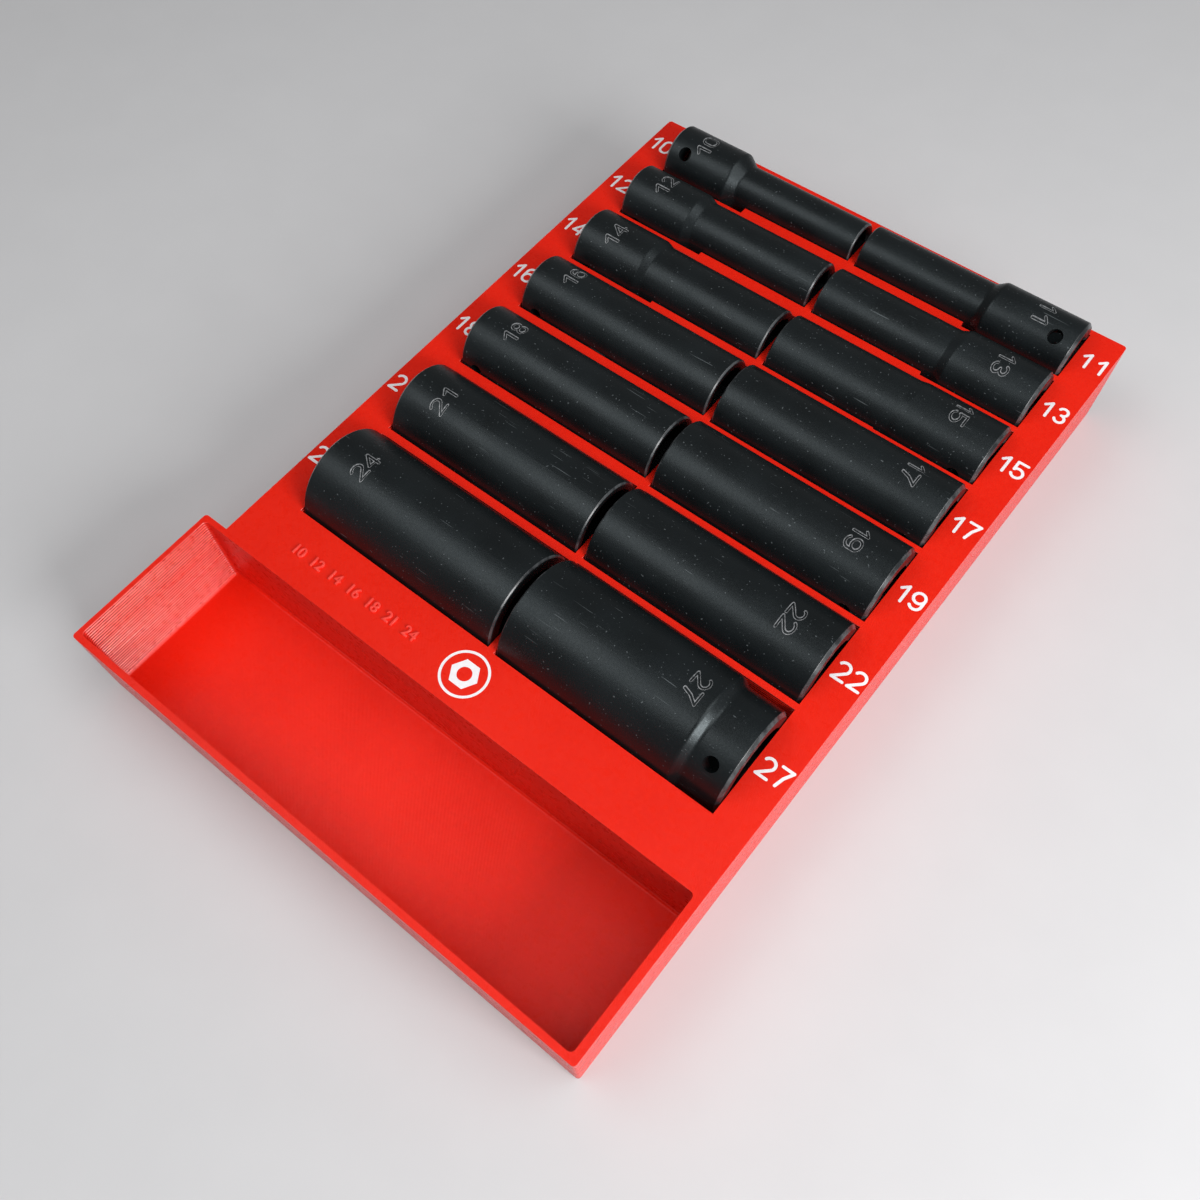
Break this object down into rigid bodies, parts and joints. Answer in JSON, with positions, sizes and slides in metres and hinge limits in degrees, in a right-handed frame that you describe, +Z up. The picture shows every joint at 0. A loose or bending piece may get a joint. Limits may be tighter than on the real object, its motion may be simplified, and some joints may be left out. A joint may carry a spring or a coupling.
{
  "type": "socket organizer tray",
  "caption": "Printed drawer tray with an open bin in front and rows of round-bottomed pockets that hold deep impact sockets lying down, sizes inlaid beside them.",
  "frame": {"origin": "middle of the tray's outline, on the surface it stands on", "axes": "+X along the sockets, towards the larger ones' column; +Y from the open bin to the small sockets; +Z up"},
  "size_m": [0.1996, 0.2932, 0.0496],
  "materials": {
    "tray_red": "satin, finely layered",
    "socket_black": "black phosphate, satin",
    "inlay_white": "satin"
  },
  "bodies": {
    "tray": {"tray": "tray_red", "round_mark": "inlay_white", "numerals_24": "inlay_white", "numerals_27": "inlay_white", "numerals_21": "inlay_white", "numerals_22": "inlay_white", "numerals_18": "inlay_white", "numerals_19": "inlay_white", "numerals_16": "inlay_white", "numerals_17": "inlay_white", "numerals_14": "inlay_white", "numerals_15": "inlay_white", "numerals_12": "inlay_white", "numerals_13": "inlay_white", "numerals_10": "inlay_white", "numerals_11": "inlay_white"},
    "socket_24mm": {"socket_24mm": "socket_black"},
    "socket_27mm": {"socket_27mm": "socket_black"},
    "socket_21mm": {"socket_21mm": "socket_black"},
    "socket_22mm": {"socket_22mm": "socket_black"},
    "socket_18mm": {"socket_18mm": "socket_black"},
    "socket_19mm": {"socket_19mm": "socket_black"},
    "socket_16mm": {"socket_16mm": "socket_black"},
    "socket_17mm": {"socket_17mm": "socket_black"},
    "socket_14mm": {"socket_14mm": "socket_black"},
    "socket_15mm": {"socket_15mm": "socket_black"},
    "socket_12mm": {"socket_12mm": "socket_black"},
    "socket_13mm": {"socket_13mm": "socket_black"},
    "socket_10mm": {"socket_10mm": "socket_black"},
    "socket_11mm": {"socket_11mm": "socket_black"}
  },
  "joints": [
    {"name": "socket_24mm_lift", "type": "slide", "parent": "tray", "child": "socket_24mm", "axis": [0, 0, 1], "range_m": [0, 0.045]},
    {"name": "socket_27mm_lift", "type": "slide", "parent": "tray", "child": "socket_27mm", "axis": [0, 0, 1], "range_m": [0, 0.045]},
    {"name": "socket_21mm_lift", "type": "slide", "parent": "tray", "child": "socket_21mm", "axis": [0, 0, 1], "range_m": [0, 0.045]},
    {"name": "socket_22mm_lift", "type": "slide", "parent": "tray", "child": "socket_22mm", "axis": [0, 0, 1], "range_m": [0, 0.045]},
    {"name": "socket_18mm_lift", "type": "slide", "parent": "tray", "child": "socket_18mm", "axis": [0, 0, 1], "range_m": [0, 0.045]},
    {"name": "socket_19mm_lift", "type": "slide", "parent": "tray", "child": "socket_19mm", "axis": [0, 0, 1], "range_m": [0, 0.045]},
    {"name": "socket_16mm_lift", "type": "slide", "parent": "tray", "child": "socket_16mm", "axis": [0, 0, 1], "range_m": [0, 0.045]},
    {"name": "socket_17mm_lift", "type": "slide", "parent": "tray", "child": "socket_17mm", "axis": [0, 0, 1], "range_m": [0, 0.045]},
    {"name": "socket_14mm_lift", "type": "slide", "parent": "tray", "child": "socket_14mm", "axis": [0, 0, 1], "range_m": [0, 0.045]},
    {"name": "socket_15mm_lift", "type": "slide", "parent": "tray", "child": "socket_15mm", "axis": [0, 0, 1], "range_m": [0, 0.045]},
    {"name": "socket_12mm_lift", "type": "slide", "parent": "tray", "child": "socket_12mm", "axis": [0, 0, 1], "range_m": [0, 0.045]},
    {"name": "socket_13mm_lift", "type": "slide", "parent": "tray", "child": "socket_13mm", "axis": [0, 0, 1], "range_m": [0, 0.045]},
    {"name": "socket_10mm_lift", "type": "slide", "parent": "tray", "child": "socket_10mm", "axis": [0, 0, 1], "range_m": [0, 0.045]},
    {"name": "socket_11mm_lift", "type": "slide", "parent": "tray", "child": "socket_11mm", "axis": [0, 0, 1], "range_m": [0, 0.045]}
  ]
}
